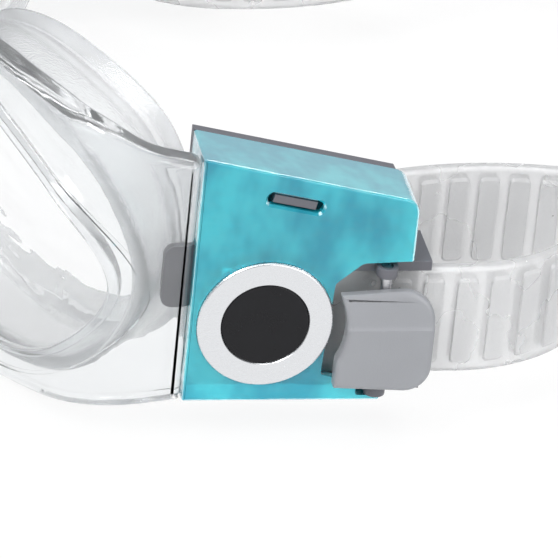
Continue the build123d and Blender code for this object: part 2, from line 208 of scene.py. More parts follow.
def slab(outline, levels):
    """A closed solid from a flat outline, one ring of it at each level."""
    bm = bmesh.new()
    rings = [[bm.verts.new((p.x, p.y, depth)) for p in grown(outline, inset)] for depth, inset in levels]
    count = len(outline)
    for low, high in zip(rings, rings[1:]):
        for k in range(count):
            bm.faces.new((low[k - 1], low[k], high[k], high[k - 1]))
    bm.faces.new(rings[0])
    bm.faces.new(rings[-1])
    bmesh.ops.recalc_face_normals(bm, faces=bm.faces)
    return bm


def ring_solid(rings):
    """A closed tube-like skin through rings of points, the last joined to the first."""
    bm = bmesh.new()
    loops = [[bm.verts.new(p) for p in ring] for ring in rings]
    for low, high in zip(loops, loops[1:] + loops[:1]):
        for k in range(len(low)):
            bm.faces.new((low[k - 1], low[k], high[k], high[k - 1]))
    bmesh.ops.recalc_face_normals(bm, faces=bm.faces)
    return bm


def combined(base, others, operation, solver="EXACT"):
    """Joins solids to a base, or cuts them from it."""
    made = []
    for bm in [base, *others]:
        mesh = bpy.data.meshes.new("work")
        bm.to_mesh(mesh)
        bm.free()
        thing = bpy.data.objects.new("work", mesh)
        bpy.context.scene.collection.objects.link(thing)
        made.append(thing)
    for tool in made[1:]:
        change = made[0].modifiers.new("work", "BOOLEAN")
        change.object, change.operation, change.solver = tool, operation, solver
    graph = bpy.context.evaluated_depsgraph_get()
    result = bmesh.new()
    result.from_mesh(made[0].evaluated_get(graph).data)
    for thing in made:
        mesh = thing.data
        bpy.data.objects.remove(thing)
        bpy.data.meshes.remove(mesh)
    bmesh.ops.remove_doubles(result, verts=result.verts, dist=0.002)
    return result


def sliced(bm, positions, axis=0):
    """Cuts a solid's faces at positions along one axis, so that it can bend there."""
    normal = Vector((axis == 0, axis == 1, axis == 2))
    for position in positions:
        parts = list(bm.verts) + list(bm.edges) + list(bm.faces)
        bmesh.ops.bisect_plane(bm, geom=parts, plane_co=normal * position, plane_no=normal, dist=1e-4)
    return bm


def moved_by(bm, place):
    """Moves every point of a solid with a function of its three flat sizes."""
    for vert in bm.verts:
        vert.co = place(*vert.co)
    bmesh.ops.recalc_face_normals(bm, faces=bm.faces)
    return bm


def steps_between(low, high, pitch):
    """Evenly spaced numbers, ends included."""
    count = max(1, ceil((high - low) / pitch))
    return [low + (high - low) * k / count for k in range(count + 1)]


# ---------------------------------------------------------------- pieces
def piece(name, bm, finish, slot_name, body, nodes, sharp=35.0, subdivide=0, weighted=True):
    """Makes a finished object of a solid, and puts it on its body."""
    mesh = bpy.data.meshes.new(name)
    bm.to_mesh(mesh)
    bm.free()
    mesh.materials.append(finish)
    mesh.shade_smooth()
    mesh.set_sharp_from_angle(angle=radians(sharp))
    thing = bpy.data.objects.new(name, mesh)
    bpy.context.scene.collection.objects.link(thing)
    if subdivide:
        smooth = thing.modifiers.new("Smooth", "SUBSURF")
        smooth.levels = smooth.render_levels = subdivide
    elif weighted:
        normals = thing.modifiers.new("Even shading", "WEIGHTED_NORMAL")
        normals.keep_sharp = True
    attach(thing, body)
    if nodes:
        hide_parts(*nodes)
    return thing


def mirrored(bm):
    """The same solid for the other side."""
    other = bm.copy()
    for vert in other.verts:
        vert.co.x = -vert.co.x
    bmesh.ops.reverse_faces(other, faces=other.faces)
    return other


def pair(name, bm, finish, slot_name, body, node, **finishing):
    """A left-hand piece and its mirror image, each on its own side's body."""
    solids = {"left": bm, "right": mirrored(bm)}
    for side, _ in SIDES:
        nodes = [f"{node}_{side}"] if node else []
        piece(f"{name}_{side}", solids[side], finish, slot_name, body.format(side=side), nodes, **finishing)


# ---------------------------------------------------------------- finishes
class Value:
    """A socket of a finish; sums on it add Math nodes."""

    def __init__(self, finish, socket):
        self.finish = finish
        self.socket = socket

    def sum_of(self, operation, first, second):
        return self.finish.node("ShaderNodeMath", {"operation": operation}, {0: first, 1: second})

    def __add__(self, other):
        return self.sum_of("ADD", self, other)

    def __sub__(self, other):
        return self.sum_of("SUBTRACT", self, other)

    def __rsub__(self, other):
        return self.sum_of("SUBTRACT", other, self)

    def __mul__(self, other):
        return self.sum_of("MULTIPLY", self, other)

    __radd__ = __add__
    __rmul__ = __mul__


class Finish:
    """A node-based material."""

    def __init__(self, name):
        self.material = bpy.data.materials.new(name)
        self.material.use_nodes = True
        self.tree = self.material.node_tree
        self.tree.nodes.clear()

    def node(self, kind, settings=None, sockets=None, output=0):
        """Adds any node: its settings first, then its sockets' values or links."""
        made = self.tree.nodes.new(kind)
        for key, value in (settings or {}).items():
            if key == "stops":
                ramp = made.color_ramp
                while len(ramp.elements) < len(value):
                    ramp.elements.new(0.5)
                for element, (position, colour) in zip(ramp.elements, value):
                    element.position = position
                    element.color = (*colour, 1)
            else:
                setattr(made, key, value)
        for key, value in (sockets or {}).items():
            if isinstance(value, Value):
                self.tree.links.new(value.socket, made.inputs[key])
            else:
                made.inputs[key].default_value = value
        return Value(self, made.outputs[output])

    def places(self, stretch=(1, 1, 1), turn=(0, 0, 0)):
        """Object coordinates, stretched and turned."""
        at = self.node("ShaderNodeTexCoord", output="Object")
        return self.node("ShaderNodeMapping", None, {"Vector": at, "Scale": stretch, "Rotation": turn})

    def grain(self, scale, detail=3.0, rough=0.5, stretch=(1, 1, 1)):
        """Noise at a scale in features to the metre."""
        sockets = {"Vector": self.places(stretch), "Scale": scale, "Detail": detail, "Roughness": rough}
        return self.node("ShaderNodeTexNoise", None, sockets)

    def mix(self, share, first, second):
        """One colour blended into another."""
        return self.node("ShaderNodeMix", {"data_type": "RGBA"}, {0: share, 6: first, 7: second}, output=2)

    def clamp_range(self, value, low, high, to_low=0.0, to_high=1.0):
        """A value's range spread over another."""
        sockets = {0: value, 1: low, 2: high, 3: to_low, 4: to_high}
        return self.node("ShaderNodeMapRange", {"interpolation_type": "SMOOTHSTEP"}, sockets)

    def bump(self, height, distance, strength=1.0):
        """A bump from a height."""
        sockets = {"Height": height, "Distance": distance, "Strength": strength}
        return self.node("ShaderNodeBump", None, sockets)

    def done(self, **sockets):
        """The principled shader with these sockets, as the finished surface."""
        names = {key: key.replace("_", " ") for key in sockets}
        surface = self.node("ShaderNodeBsdfPrincipled", None, {names[key]: sockets[key] for key in sockets})
        out = self.tree.nodes.new("ShaderNodeOutputMaterial")
        self.tree.links.new(surface.socket, out.inputs["Surface"])
        return self.material


def colour(r, g, b):
    """A colour with full alpha."""
    return (r, g, b, 1.0)


def clear_plastic(name, tint, haze, clearness):
    """Hard clear moulding with faint flow lines."""
    finish = Finish(name)
    flow = finish.grain(60, 2.0, stretch=(1, 1, 3))
    cloud = finish.grain(220, 4.0)
    rough = finish.clamp_range(cloud, 0.35, 0.75, haze, haze + 0.05)
    base = finish.mix(finish.clamp_range(flow, 0.4, 0.7), colour(*tint), colour(*(0.97 * t for t in tint)))
    return finish.done(
        Base_Color=base,
        Roughness=rough,
        IOR=1.46,
        Transmission_Weight=clearness,
        Normal=finish.bump(flow, 0.0006, 0.35),
    )


def soft_silicone(name, tint, clearness, haze):
    """Milky soft moulding with a fine skin."""
    finish = Finish(name)
    skin = finish.grain(2600, 4.0)
    cloud = finish.grain(90, 3.0)
    base = finish.mix(cloud, colour(*tint), colour(*(0.94 * t for t in tint)))
    rough = finish.clamp_range(cloud, 0.3, 0.8, haze, haze + 0.1)
    return finish.done(
        Base_Color=base,
        Roughness=rough,
        IOR=1.41,
        Transmission_Weight=clearness,
        Normal=finish.bump(skin, 0.00008, 0.6),
    )


def moulded_grey(name, shade, rough):
    """Opaque satin moulding with a fine spark-eroded grain."""
    finish = Finish(name)
    grain = finish.grain(5200, 2.0)
    cloud = finish.grain(160, 3.0)
    base = finish.mix(cloud, colour(*(0.94 * s for s in shade)), colour(*(1.06 * s for s in shade)))
    return finish.done(
        Base_Color=base,
        Roughness=finish.clamp_range(grain, 0.3, 0.7, rough - 0.05, rough + 0.08),
        Normal=finish.bump(grain, 0.00003, 0.7),
        Coat_Weight=0.15,
        Coat_Roughness=0.3,
    )


def black_enamel(name, tint):
    """Smooth dark disc with the faintest unevenness."""
    finish = Finish(name)
    cloud = finish.grain(300, 3.0)
    return finish.done(
        Base_Color=finish.mix(cloud, colour(*tint), colour(*(2.0 * t for t in tint))),
        Roughness=finish.clamp_range(cloud, 0.3, 0.7, 0.25, 0.36),
        Specular_IOR_Level=0.25,
        Normal=finish.bump(cloud, 0.00002, 0.4),
    )


def aqua_plastic(name, deep, bright):
    """Translucent coloured cover with brighter clouds and a wavy inside."""
    finish = Finish(name)
    cloud = finish.grain(110, 3.0, 0.6, stretch=(1, 1, 0.6))
    wave = finish.grain(420, 2.0, stretch=(1, 0.6, 1))
    base = finish.mix(finish.clamp_range(cloud, 0.4, 0.66), colour(*deep), colour(*bright))
    return finish.done(
        Base_Color=base,
        Roughness=finish.clamp_range(wave, 0.3, 0.7, 0.03, 0.1),
        IOR=1.5,
        Transmission_Weight=0.62,
        Normal=finish.bump(wave, 0.0004, 0.35),
        Coat_Weight=0.5,
        Coat_Roughness=0.04,
    )


def bright_metal(name, shade, rough):
    """Metal with fine turning marks."""
    finish = Finish(name)
    lines = finish.grain(900, 2.0, stretch=(1, 1, 14))
    base = finish.mix(lines, colour(*(0.9 * s for s in shade)), colour(*shade))
    return finish.done(
        Base_Color=base,
        Metallic=1.0,
        Roughness=finish.clamp_range(lines, 0.3, 0.7, rough, rough + 0.12),
        Normal=finish.bump(lines, 0.00002, 0.5),
    )


FINISHES = {}


def finishes():
    """Every finish of the goggles, made once from the panel's colours."""
    if not FINISHES:
        look = bpy.context.scene.goggles_finish
        FINISHES.update(
            frame=clear_plastic("Clear frame", look.clear, 0.02, 0.93),
            lens=clear_plastic("Clear lens", (0.98, 0.985, 0.99), 0.0, 1.0),
            skirt=soft_silicone("Clear silicone", look.silicone, 0.82, 0.12),
            strap=soft_silicone("Strap silicone", look.strap, 0.6, 0.24),
            cover=aqua_plastic("Aqua plastic", look.cover, look.cover_bright),
            base=moulded_grey("Dark grey moulding", look.base, 0.42),
            button=moulded_grey("Grey moulding", look.button, 0.4),
            ring=bright_metal("Silver ring", (0.8, 0.81, 0.83), 0.24),
            disc=black_enamel("Black disc", (0.004, 0.004, 0.005)),
            steel=bright_metal("Steel", (0.62, 0.62, 0.64), 0.25),
        )
    return FINISHES


# ---------------------------------------------------------------- settings
def size(name, description, default):
    """A length in millimetres for the panel."""
    return bpy.props.FloatProperty(name=name, description=description, default=default, min=0.0)


def shade(name, description, default):
    """A colour for the panel."""
    return bpy.props.FloatVectorProperty(
        name=name, description=description, default=default, subtype="COLOR", min=0.0, max=1.0
    )


class GogglesFront(bpy.types.PropertyGroup):
    """Sizes of the clear front, its lenses and the skirts."""

    rim: size("Rim thickness", "Thickness of the clear rims, in mm", 4.0)
    rim_round: size("Rim rounding", "Radius of the rim's outer edge, in mm", 1.5)
    lip_round: size("Window rounding", "Radius of the window's edge, in mm", 0.45)
    lens: size("Lens thickness", "Thickness of a lens, in mm", 2.2)
    lens_set: size("Lens depth", "Depth of a lens behind the rim's face, in mm", 1.05)
    lens_reach: size("Lens overlap", "How far a lens reaches under the lip, in mm", 1.15)
    groove_out: size("Groove distance", "Distance of the groove round the window, in mm", 3.6)
    groove_width: size("Groove width", "Width of the groove round the window, in mm", 0.7)
    wall: size("Skirt wall", "Wall of the skirts, in mm", 1.8)


class GogglesBuckle(bpy.types.PropertyGroup):
    """Sizes of the buckles."""

    edge: size("Cover rounding", "Radius of the cover's outer edge, in mm", 0.45)
    skin: size("Cover skin", "Thickness of the cover's face, in mm", 1.2)
    wall: size("Cover wall", "Thickness of the cover's sides, in mm", 1.0)
    proud: size("Button height", "How far the button stands out of the cover, in mm", 2.9)
    button_round: size("Button rounding", "Radius of the button's edge, in mm", 0.8)
    crease: size("Button crease", "Height of the crease across the button, in mm", 12.6)


class GogglesStrap(bpy.types.PropertyGroup):
    """Sizes of the head strap."""

    width: size("Strap width", "Width of the strap, in mm", 16.4)
    thickness: size("Strap thickness", "Thickness of the strap without its ribs, in mm", 2.0)
    pitch: size("Rib pitch", "Distance from rib to rib, in mm", 4.3)
    rib: size("Rib width", "Width of a rib, in mm", 3.0)
    rib_height: size("Rib height", "How far a rib stands out, in mm", 0.35)
    border: size("Plain border", "Smooth edge beside the ribs, in mm", 1.5)


class GogglesFinish(bpy.types.PropertyGroup):
    """Colours of the goggles."""

    clear: shade("Clear plastic", "Tint of the front", (0.9, 0.915, 0.925))
    silicone: shade("Skirt silicone", "Tint of the skirts", (0.88, 0.89, 0.9))
    strap: shade("Strap silicone", "Tint of the strap", (0.84, 0.84, 0.845))
    cover: shade("Cover", "Deep colour of the covers", (0.0, 0.42, 0.56))
    cover_bright: shade("Cover, bright", "Bright colour in the covers", (0.05, 0.7, 0.8))
    base: shade("Base", "Colour of the buckle's base", (0.1, 0.1, 0.115))
    button: shade("Button", "Colour of the release button", (0.24, 0.245, 0.26))


# ---------------------------------------------------------------- front
RIM_POINTS = (
    (42.0, 17.0), (36.0, 20.2), (28.0, 23.4), (9.0, 24.0), (-9.0, 21.5), (-21.5, 14.0), (-26.5, 2.0),
    (-24.0, -9.0), (-14.0, -20.0), (6.0, -24.0), (28.0, -21.0), (42.0, -17.6),
)
WINDOW_POINTS = (
    (33.0, -2.0), (25.4, 8.8), (2.0, 15.5), (-15.0, 11.0),
    (-23.0, -1.0), (-14.0, -14.2), (5.9, -18.5), (24.4, -14.4),
)


def flat_front(points, grow=0.0):
    """An eye-plane outline laid out flat on the front: run and height."""
    eye = grown(through(points, 12), grow)
    return [Vector((run_of(p.x), EYE_ORIGIN[2] + p.y)) for p in eye]


def flat_rim():
    """The rim's outer edge laid out flat, square where it meets the buckle."""
    eye = through(RIM_POINTS, 10, closed=False)
    return [Vector((run_of(p.x), min(max(EYE_ORIGIN[2] + p.y, 0.0), 48.0))) for p in eye]


def other_side(outline):
    """The same flat outline on the other side of the nose."""
    return [Vector((-p.x, p.y)) for p in reversed(outline)]


class GOGGLES_OT_front(bpy.types.Operator):
    """Builds the clear wrap-round front with its rims, bridge, window lips and grooves"""

    bl_idname = "goggles.front"
    bl_label = "Front"

    def execute(self, context):
        sizes = context.scene.goggles_front
        look = finishes()
        rim = flat_rim()
        window = flat_front(WINDOW_POINTS)
        seat = flat_front(WINDOW_POINTS, sizes.lens_reach + 0.05)
        groove = flat_front(WINDOW_POINTS, sizes.groove_out)
        inner = flat_front(WINDOW_POINTS, sizes.groove_out - sizes.groove_width)
        body_levels = round_levels(0.0, sizes.rim, sizes.rim_round, 1.0)
        bridge = rounded(((-17, 28, 3.5), (17, 28, 3.5), (17, 38.5, 3.5), (-17, 38.5, 3.5)))
        body = combined(
            slab(rim, body_levels),
            [slab(other_side(rim), body_levels), slab(bridge, round_levels(0.0, sizes.rim, 1.2, 1.0))],
            "UNION",
        )
        lip = sizes.lip_round
        cuts = []
        for turned in (list, other_side):
            flare = [(-1.0, lip + 0.9), (0.0, lip)] + [
                (lip * (1 - cos(a)), lip * (1 - sin(a))) for a in (pi / 8, pi / 4, 3 * pi / 8, pi / 2)
            ]
            cuts.append(slab(turned(window), flare + [(sizes.rim + 1, 0.0)]))
            cuts.append(slab(turned(seat), [(1.0, 0.0), (sizes.rim + 1, 0.0)]))
            cuts.append(
                combined(
                    slab(turned(groove), [(-0.5, 0.0), (0.3, -0.1)]),
                    [slab(turned(inner), [(-1.0, 0.0), (0.5, 0.1)])],
                    "DIFFERENCE",
                )
            )
        front = combined(body, cuts, "DIFFERENCE")
        sliced(front, steps_between(-RIM_END, RIM_END, 1.6)[1:-1])
        moved_by(front, on_front)
        piece("front", front, look["frame"], "clear_frame", "goggles", ["front_frame"], sharp=50)
        return {"FINISHED"}


class GOGGLES_OT_lenses(bpy.types.Operator):
    """Builds the two clear lenses behind the window lips"""

    bl_idname = "goggles.lenses"
    bl_label = "Lenses"

    def execute(self, context):
        sizes = context.scene.goggles_front
        outline = flat_front(WINDOW_POINTS, sizes.lens_reach)
        levels = round_levels(sizes.lens_set, sizes.lens_set + sizes.lens, 0.25, 0.25, 2)
        lens = slab(outline, levels)
        sliced(lens, steps_between(-10, RIM_END, 1.6)[1:-1])
        moved_by(lens, on_front)
        pair("lens", lens, finishes()["lens"], "clear_lens", "goggles", "lens", sharp=50)
        return {"FINISHED"}


# ---------------------------------------------------------------- skirts
SKIRT_FRONT = (40.7, 22.1, 23.3, 22.6)
SKIRT_BACK = (28.1, 19.1, 21.4, 19.7)
SKIRT_SPAN = (10.0, -24.0)
SKIRT_TEMPLE = Vector((55.5, 5.5))
SKIRT_MIDDLE = Vector((36.0, -8.8))
SKIRT_NOSE = Vector((2.5, -23.0))


def cup_ring(sizes, grow):
    """Outline of the skirt's cup in the eye's plane."""
    temple, top, nose, bottom = (s + grow for s in sizes)
    return through(
        (
            (temple, -2.0), (0.76 * temple, 0.76 * top), (0.1 * temple, top), (-0.68 * nose, 0.7 * top),
            (-nose, -1.0), (-0.66 * nose, -0.74 * bottom),
            (0.15 * temple, -bottom), (0.76 * temple, -0.8 * bottom),
        ),
        14,
    )


def face_y(x):
    """Where the skirt's face edge runs, seen from above."""
    line = through((SKIRT_NOSE, SKIRT_MIDDLE, SKIRT_TEMPLE), 12, closed=False)
    for a, b in zip(line, line[1:]):
        if x <= b.x:
            break
    share = (x - a.x) / (b.x - a.x)
    return a.y + share * (b.y - a.y)


def from_eye(p, ahead):
    """A point in the eye's plane, some way ahead of it, as x, y and height."""
    x = EYE_ORIGIN[0] + p.x * cos(EYE_TURN) + ahead * sin(EYE_TURN)
    y = EYE_ORIGIN[1] + p.x * sin(EYE_TURN) - ahead * cos(EYE_TURN)
    return x, y, EYE_ORIGIN[2] + p.y


def depth_behind_front(x, y):
    """How far a plan point lies behind the front's outside."""
    if atan2(x, FRONT_CENTRE_Y - y) < MEET:
        return FRONT_RADIUS - hypot(x, y - FRONT_CENTRE_Y)
    if y < TEMPLE_CENTRE[1]:
        return TEMPLE_RADIUS - hypot(x - TEMPLE_CENTRE[0], y - TEMPLE_CENTRE[1])
    return TEMPLE_CENTRE[0] + TEMPLE_RADIUS - x


def halving(test, low, high):
    """Where a test along a range turns from true to false."""
    for _ in range(30):
        middle = (low + high) / 2
        low, high = (middle, high) if test(middle) else (low, middle)
    return (low + high) / 2


class GOGGLES_OT_skirts(bpy.types.Operator):
    """Builds the soft skirts, each a tapering cup with a rolled sealing edge"""

    bl_idname = "goggles.skirts"
    bl_label = "Skirts"

    def execute(self, context):
        sizes = context.scene.goggles_front
        start = sizes.rim + 0.1
        profile = (
            (0.0, 0.0), (0.25, 0.05), (0.5, 0.0), (0.7, -0.1),
            (0.84, 0.2), (0.93, 0.9), (0.985, 1.3), (1.0, 0.6),
            (1.0, -1.4), (0.985, -3.6), (0.95, -4.4), (0.9, -4.1), (0.84, -2.9), (0.74, -sizes.wall - 0.2),
            (0.5, -sizes.wall), (0.25, -sizes.wall), (0.0, -sizes.wall),
        )
        rings = []
        for share, grow in profile:
            front, back = cup_ring(SKIRT_FRONT, grow), cup_ring(SKIRT_BACK, grow)
            ring = []
            for near, far in zip(front, back):
                def at(ahead, near=near, far=far):
                    part = (SKIRT_SPAN[0] - ahead) / (SKIRT_SPAN[0] - SKIRT_SPAN[1])
                    return from_eye(near.lerp(far, part), ahead)
                first = halving(lambda a: depth_behind_front(*at(a)[:2]) > start, -20.0, 30.0)
                last = halving(lambda a: at(a)[1] > face_y(at(a)[0]), -26.0, first)
                ring.append(spot(*at(first + (last - first) * share)))
            rings.append(ring)
        skirt = ring_solid(rings)
        pair(
            "skirt", skirt, finishes()["skirt"], "soft_clear_skirt", "goggles", "face_skirt",
            sharp=180, subdivide=1,
        )
        pad = rounded(((-7, 28.6, 2.6), (7, 28.6, 2.6), (7, 37.4, 2.6), (-7, 37.4, 2.6)))
        nose = slab(pad, round_levels(start, start + 2.9, 0.1, 1.1))
        sliced(nose, steps_between(-7, 7, 1.4)[1:-1])
        moved_by(nose, on_front)
        soft = finishes()["skirt"]
        piece("nose_cushion", nose, soft, "soft_clear_skirt", "goggles", ["nose_pad"], sharp=50)
        return {"FINISHED"}


# ---------------------------------------------------------------- buckle
COVER_CORNERS = ((0, 0, 0.4), (30.6, 0, 1.0), (30.6, 31.1, 2.4), (0, 37.7, 0.4))
BAY_CORNERS = (
    (19.9, 18.4, 0.8), (19.1, 4.2, 0.6), (24.3, 2.9, 0.6), (24.3, 0.9, 0.4), (27.6, 0.9, 0.3), (27.6, -2, 0),
    (41.5, -2, 0), (41.5, 22.4, 0), (23.5, 21.6, 1.6),
)
SLOT_CORNERS = ((-4, -0.9, 0.85), (4, -0.9, 0.85), (4, 0.9, 0.85), (-4, 0.9, 0.85))
SLOT_CENTRE = (13.2, 30.9)
SLOT_SLOPE = radians(-11.8)
TONGUE_NOTCH = ((-2, 14.1, 0), (1.2, 14.1, 0), (1.2, 23.9, 0), (-2, 23.9, 0))
BADGE = (10.6, 12.3)
BADGE_RADIUS = 9.5
DISC_RADIUS = 6.05
BUTTON_CORNERS = (
    (20.6, 2.9, 0.7), (34.0, 2.9, 3.6), (34.0, 18.0, 4.6), (20.6, 18.0, 0.7),
)


class GOGGLES_OT_covers(bpy.types.Operator):
    """Builds the translucent buckle covers, hollow inside, with their slot, badge seat, bay and tongue notch
    """

    bl_idname = "goggles.covers"
    bl_label = "Covers"

    def execute(self, context):
        sizes = context.scene.goggles_buckle
        outline = rounded(COVER_CORNERS)
        sharp_inside = grown([Vector(corner[:2]) for corner in COVER_CORNERS], -sizes.wall)
        inside = rounded([(p.x, p.y, 0.4) for p in sharp_inside])
        cover = slab(outline, round_levels(-9.0, 0.0, 0.2, sizes.edge))
        slot_line = [
            Vector(SLOT_CENTRE) + Vector((x * cos(SLOT_SLOPE) - y * sin(SLOT_SLOPE),
                                          x * sin(SLOT_SLOPE) + y * cos(SLOT_SLOPE)))
            for x, y in rounded(SLOT_CORNERS)
        ]
        cover = combined(
            cover,
            [
                slab(inside, round_levels(-10.0, -sizes.skin, 0, 0.4)),
                slab(rounded(BAY_CORNERS), [(-11, 0.0), (0.5, 0.0)]),
                slab(circle(*BADGE, BADGE_RADIUS + 0.06), [(-0.5, 0), (0.5, 0)]),
                slab(slot_line, [(-2, 0.0), (-0.35, 0.0), (0.2, 0.5)]),
                slab(rounded(TONGUE_NOTCH), [(-10, 0), (-sizes.skin, 0)]),
            ],
            "DIFFERENCE",
            solver="FAST",
        )
        moved_by(cover, in_buckle)
        look = finishes()["cover"]
        pair("cover", cover, look, "aqua_cover", "goggles", "buckle_cover", sharp=28)
        return {"FINISHED"}


class GOGGLES_OT_bases(bpy.types.Operator):
    """Builds the buckles' inner bases with softened edges from the frame's own shape"""

    bl_idname = "goggles.bases"
    bl_label = "Bases"

    def execute(self, context):
        for side, _ in SIDES:
            bm = bmesh.new()
            bm.from_mesh(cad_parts[f"buckle_base_{side}"].data)
            bmesh.ops.remove_doubles(bm, verts=bm.verts, dist=0.000002)
            bmesh.ops.dissolve_limit(bm, angle_limit=radians(1), verts=bm.verts, edges=bm.edges)
            edges = [e for e in bm.edges if len(e.link_faces) == 2 and e.calc_face_angle() > radians(40)]
            bmesh.ops.bevel(
                bm, geom=edges, offset=0.00012, segments=2, profile=0.5, affect="EDGES", clamp_overlap=True
            )
            grey, node = finishes()["base"], f"buckle_base_{side}"
            piece(f"base_{side}", bm, grey, "dark_grey_base", "goggles", [node], sharp=40)
        return {"FINISHED"}


class GOGGLES_OT_badges(bpy.types.Operator):
    """Builds the plain silver ring and black disc on each cover"""

    bl_idname = "goggles.badges"
    bl_label = "Badges"

    def execute(self, context):
        look = finishes()
        ring = combined(
            slab(circle(*BADGE, BADGE_RADIUS, 128), round_levels(-0.5, 0.4, 0.05, 0.3)),
            [slab(circle(*BADGE, DISC_RADIUS + 0.02, 96), [(-1, 0), (0.2, 0), (0.5, 0.25), (1, 0.6)])],
            "DIFFERENCE",
        )
        moved_by(ring, in_buckle)
        pair("ring", ring, look["ring"], "silver_ring", "goggles", "badge_ring", sharp=40)
        disc = slab(circle(*BADGE, DISC_RADIUS, 96), round_levels(-0.5, 0.3, 0.05, 0.15))
        moved_by(disc, in_buckle)
        pair("disc", disc, look["disc"], "black_disc", "goggles", "badge_disc", sharp=40)
        return {"FINISHED"}


class GOGGLES_OT_buttons(bpy.types.Operator):
    """Builds the release buttons, with a crease, a sloping top and a hollow towards the badge"""

    bl_idname = "goggles.buttons"
    bl_label = "Release buttons"

    def execute(self, context):
        sizes = context.scene.goggles_buckle
        outline = rounded(BUTTON_CORNERS, 8)
        hollow = 11.1
        count = 24
        front = []
        for k in range(count + 1):
            up = 3.4 + (17.4 - 3.4) * (1 - k / count)
            reach = hollow**2 - (up - BADGE[1]) ** 2
            front.append(Vector((BADGE[0] + sqrt(max(reach, 0.0)), up)))
        front = [p if p.x > 20.6 else Vector((20.6, p.y)) for p in front]
        rest = [p for p in outline if p.x > 21.6]
        shape = rest + front
        top = sizes.proud
        levels = round_levels(0.3, top, 0.35, sizes.button_round, 5)
        button = slab(shape, levels)
        lines = [sizes.crease - 0.25, sizes.crease, sizes.crease + 0.35]
        sliced(button, lines + steps_between(sizes.crease + 1, 17, 1.2), axis=1)

        def shaped(along, up, out):
            high = min(1.0, max(0.0, (out - 0.3) / (top - 0.3)))
            past = up - sizes.crease
            if past > -0.01:
                out -= high * (0.3 * min(1.0, past / 0.35) + 1.0 * max(0.0, past - 0.35) / 5.4)
            return in_buckle(along, up, out)

        moved_by(button, shaped)
        grey = finishes()["button"]
        pair("button", button, grey, "grey_button", "button_{side}", "release_button", sharp=40)
        return {"FINISHED"}


class GOGGLES_OT_steel(bpy.types.Operator):
    """Gives the bars, pins and springs their steel"""

    bl_idname = "goggles.steel"
    bl_label = "Bars, pins and springs"

    def execute(self, context):
        for side, _ in SIDES:
            for node in ("strap_bar", "button_pin", "button_spring"):
                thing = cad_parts[f"{node}_{side}"]
                thing.data.materials.clear()
                thing.data.materials.append(finishes()["steel"])
        return {"FINISHED"}


# ---------------------------------------------------------------- strap
BAR = in_buckle(10.7, 0.0, -6.4)
STRAP_HEIGHT = 17.1
WRAP_RADIUS = 2.8
WRAP_TURN = 125.0
TAIL_STRAIGHT = 27.5
TAIL_RADIUS = 24.0
TAIL_CURL = 70.0
LEAD_TURN = 45.0
WAIST_RADIUS = 50.0
WAIST_TURN = 33.0
BACK_TURN = 115.0
FLARE_START_Y = 78.0
FLARE_END_Y = 100.0
PAST_TAIL = 60.0
SPLIT_ROUND = 2.4
SPLIT_GAP = 5.0
INNER_RUN = 10.3
CURVE_LEFT = 38.0
CURVE_RIGHT = 18.0
RISE_RIGHT = 1.0
WAIST_OUT = radians(25.0)
BACK_GROWTH = cos(WAIST_OUT) + (1 + sin(WAIST_OUT)) * sin(WAIST_OUT) / cos(WAIST_OUT)


def strap_route(curve_radius, rise_length, pitch=0.5):
    """One side of the strap's middle line, from its free tail to behind the head, seen from above."""
    rear = Vector((sin(SPLAY), cos(SPLAY)))
    out = Vector((cos(SPLAY), -sin(SPLAY)))
    bar = Vector((BAR.x / MM, BAR.y / MM - FRAME_Y))

    def arc(start, heading, radius, turn):
        """Points and end heading of an arc; a positive turn is to the left."""
        side = 1 if turn > 0 else -1
        centre = start + Vector((-heading.y, heading.x)) * radius * side
        count = max(4, ceil(abs(radians(turn)) * radius / pitch))
        spoke = start - centre
        points = []
        for k in range(1, count + 1):
            spin = Matrix.Rotation(radians(turn) * k / count, 2)
            points.append(centre + spin @ spoke)
        return points, Matrix.Rotation(radians(turn), 2) @ heading

    def straight(start, heading, length):
        count = max(2, ceil(length / pitch))
        return [start + heading * length * k / count for k in range(1, count + 1)]

    tail_start = bar + out * WRAP_RADIUS + rear * TAIL_STRAIGHT
    curl, _ = arc(tail_start, rear, TAIL_RADIUS, TAIL_CURL)
    points = list(reversed(curl)) + [tail_start] + straight(tail_start, -rear, TAIL_STRAIGHT)
    more, heading = arc(points[-1], -rear, WRAP_RADIUS, -WRAP_TURN)
    points += more
    points += straight(points[-1], heading, INNER_RUN)
    more, heading = arc(points[-1], heading, curve_radius, -LEAD_TURN)
    points += more
    more, heading = arc(points[-1], heading, WAIST_RADIUS, -WAIST_TURN)
    points += more
    points += straight(points[-1], heading, rise_length)
    radius = points[-1].x / cos(WAIST_OUT)
    more, heading = arc(points[-1], heading, radius, BACK_TURN)
    points += more
    return points


class Path:
    """A flat line with its length, for bending flat pieces along it."""

    def __init__(self, points):
        self.points = points
        self.run = [0.0]
        for a, b in zip(points, points[1:]):
            self.run.append(self.run[-1] + (b - a).length)
        self.length = self.run[-1]

    def at(self, run):
        """The point and heading at a run."""
        run = min(max(run, 0.0), self.length)
        low, high = 0, len(self.run) - 1
        while high - low > 1:
            middle = (low + high) // 2
            if self.run[middle] <= run:
                low = middle
            else:
                high = middle
        a, b = self.points[low], self.points[high]
        share = (run - self.run[low]) / (self.run[high] - self.run[low])
        before = self.points[max(low - 1, 0)]
        after = self.points[min(high + 1, len(self.points) - 1)]
        heading = (b - before).normalized().lerp((after - a).normalized(), share).normalized()
        return a.lerp(b, share), heading


